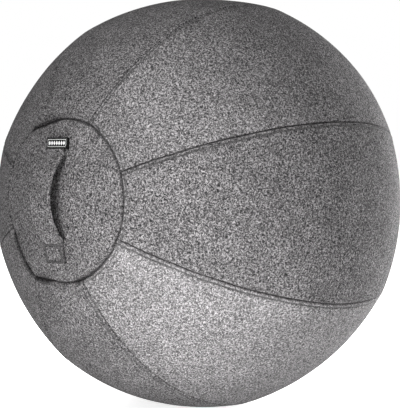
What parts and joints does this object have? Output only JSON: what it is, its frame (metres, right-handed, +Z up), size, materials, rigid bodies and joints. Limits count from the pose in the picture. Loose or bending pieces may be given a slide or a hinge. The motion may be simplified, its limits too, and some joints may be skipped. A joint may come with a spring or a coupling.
{
  "type": "balance ball chair",
  "caption": "Air-filled sitting ball in a heather grey felt cover of sewn gores and round end caps, with a felt carrying handle and a hidden zip.",
  "frame": {"origin": "middle of the flat patch that the ball stands on", "axes": "+Z up; the axis through the two end caps lies along Y, with the handle's cap towards -Y"},
  "size_m": [0.65, 0.6486, 0.647],
  "materials": {
    "cover_felt": "heather grey wool felt, matt with a soft nap",
    "strap_felt": "heather grey wool felt, two layers sewn together",
    "label_weave": "black woven label with a pale edge line, left blank",
    "ball_vinyl": "soft vinyl, satin",
    "valve_vinyl": "moulded vinyl, satin",
    "plug_plastic": "moulded white plastic",
    "zip_tape": "woven herringbone tape, dark grey",
    "zip_teeth": "moulded plastic, dark grey",
    "zip_metal": "die-cast metal, painted black"
  },
  "bodies": {
    "cover": {"gore_panel_1": "cover_felt", "gore_panel_2": "cover_felt", "gore_panel_3": "cover_felt", "gore_panel_4": "cover_felt", "gore_panel_5": "cover_felt", "gore_panel_6": "cover_felt", "gore_panel_7": "cover_felt", "gore_panel_8": "cover_felt", "handle_cap_panel": "cover_felt", "base_cap_panel": "cover_felt", "gore_seam_allowances": "cover_felt", "cap_seam_allowances": "cover_felt", "handle_lower_end": "strap_felt", "handle_upper_end": "strap_felt", "handle_label": "label_weave", "inner_ball": "ball_vinyl", "valve_seat": "valve_vinyl", "valve_plug": "plug_plastic", "zip_tape_left": "zip_tape", "zip_tape_right": "zip_tape", "zip_teeth_left": "zip_teeth", "zip_teeth_right": "zip_teeth", "zip_open_stop": "zip_teeth", "zip_shut_stops": "zip_teeth"},
    "zip_slider": {"zip_slider": "zip_metal"},
    "zip_pull": {"zip_pull_tab": "zip_metal"},
    "handle_grip": {"handle_grip_inner_layer": "strap_felt", "handle_grip_outer_layer": "strap_felt"}
  },
  "joints": [
    {"name": "zip_travel", "type": "hinge", "parent": "cover", "child": "zip_slider", "pos_m": [-0.01354, 0, 0.32846], "axis": [0.4305, 0, 0.9026], "range_deg": [0, 75.4], "deforming": ["zip_teeth_left", "zip_teeth_right"]},
    {"name": "zip_pull_flip", "type": "hinge", "parent": "zip_slider", "child": "zip_pull", "pos_m": [-0.2194, 0.21106, 0.42665], "axis": [-0.4305, 0, -0.9026], "range_deg": [0, 100]},
    {"name": "handle_sway", "type": "hinge", "parent": "cover", "child": "handle_grip", "pos_m": [0, -0.32389, 0.29063], "axis": [0, 0.0132, 0.9999], "range_deg": [-18, 18], "stiffness_Nm_per_rad": 0.05}
  ]
}
